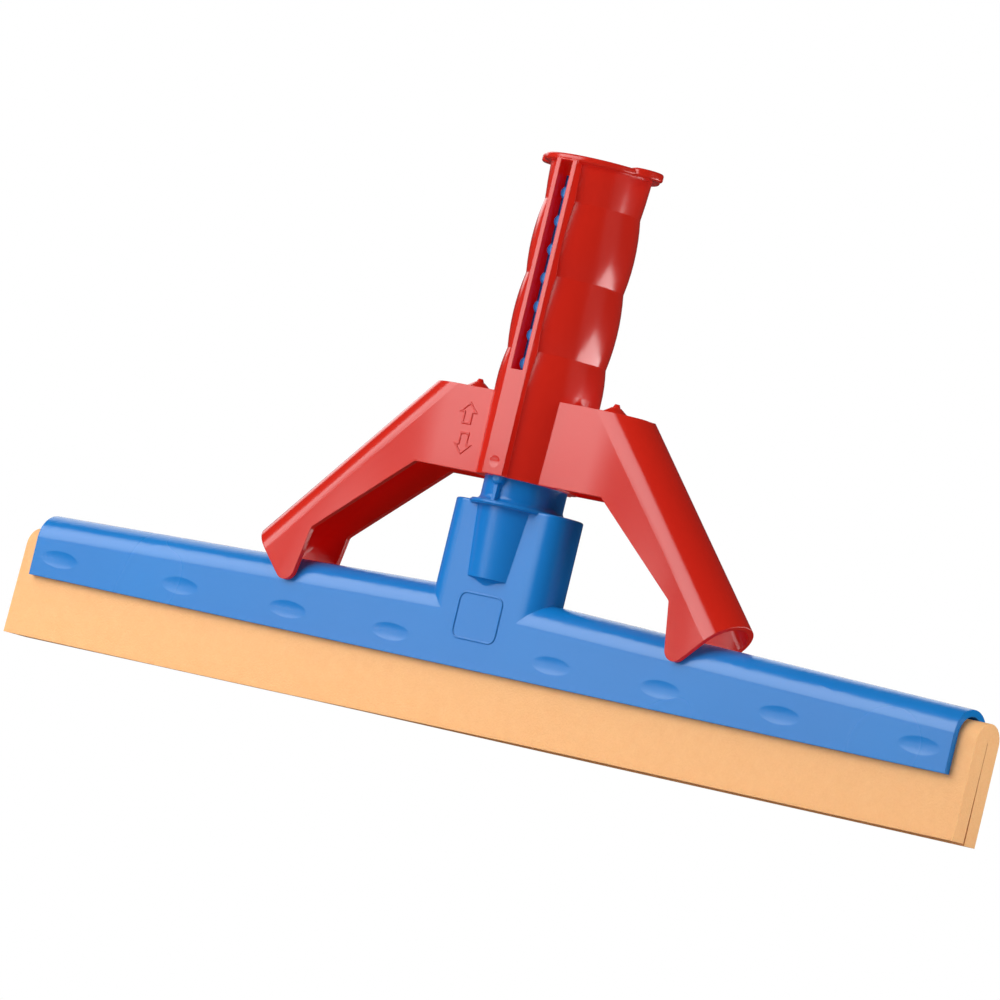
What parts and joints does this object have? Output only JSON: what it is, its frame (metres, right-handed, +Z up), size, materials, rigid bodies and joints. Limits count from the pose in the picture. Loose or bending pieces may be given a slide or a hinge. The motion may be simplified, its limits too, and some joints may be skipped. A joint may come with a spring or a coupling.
{
  "type": "squeegee applicator",
  "caption": "Floor squeegee head: a foam rubber blade in a moulded channel, with a clamp sleeve that slides along the handle socket to pin a cloth on the channel.",
  "frame": {"origin": "on the handle socket's axis, in the plane of the blade's wiping edge, midway along and across the blade", "axes": "+Z up the handle socket's axis, +X along the blade, -Y the front with the marked face"},
  "size_m": [0.421, 0.0406, 0.2017],
  "materials": {
    "blue_plastic": "injection moulded, gloss",
    "foam_rubber": "fine cellular, matt",
    "red_plastic": "injection moulded, gloss"
  },
  "bodies": {
    "head": {"squeegee_head": "blue_plastic", "rubber_blade": "foam_rubber"},
    "sleeve": {"clamp_sleeve": "red_plastic"}
  },
  "joints": [
    {"name": "sleeve_slide", "type": "slide", "parent": "head", "child": "sleeve", "axis": [0, 0, 1], "range_m": [-0.007, 0.09]}
  ]
}
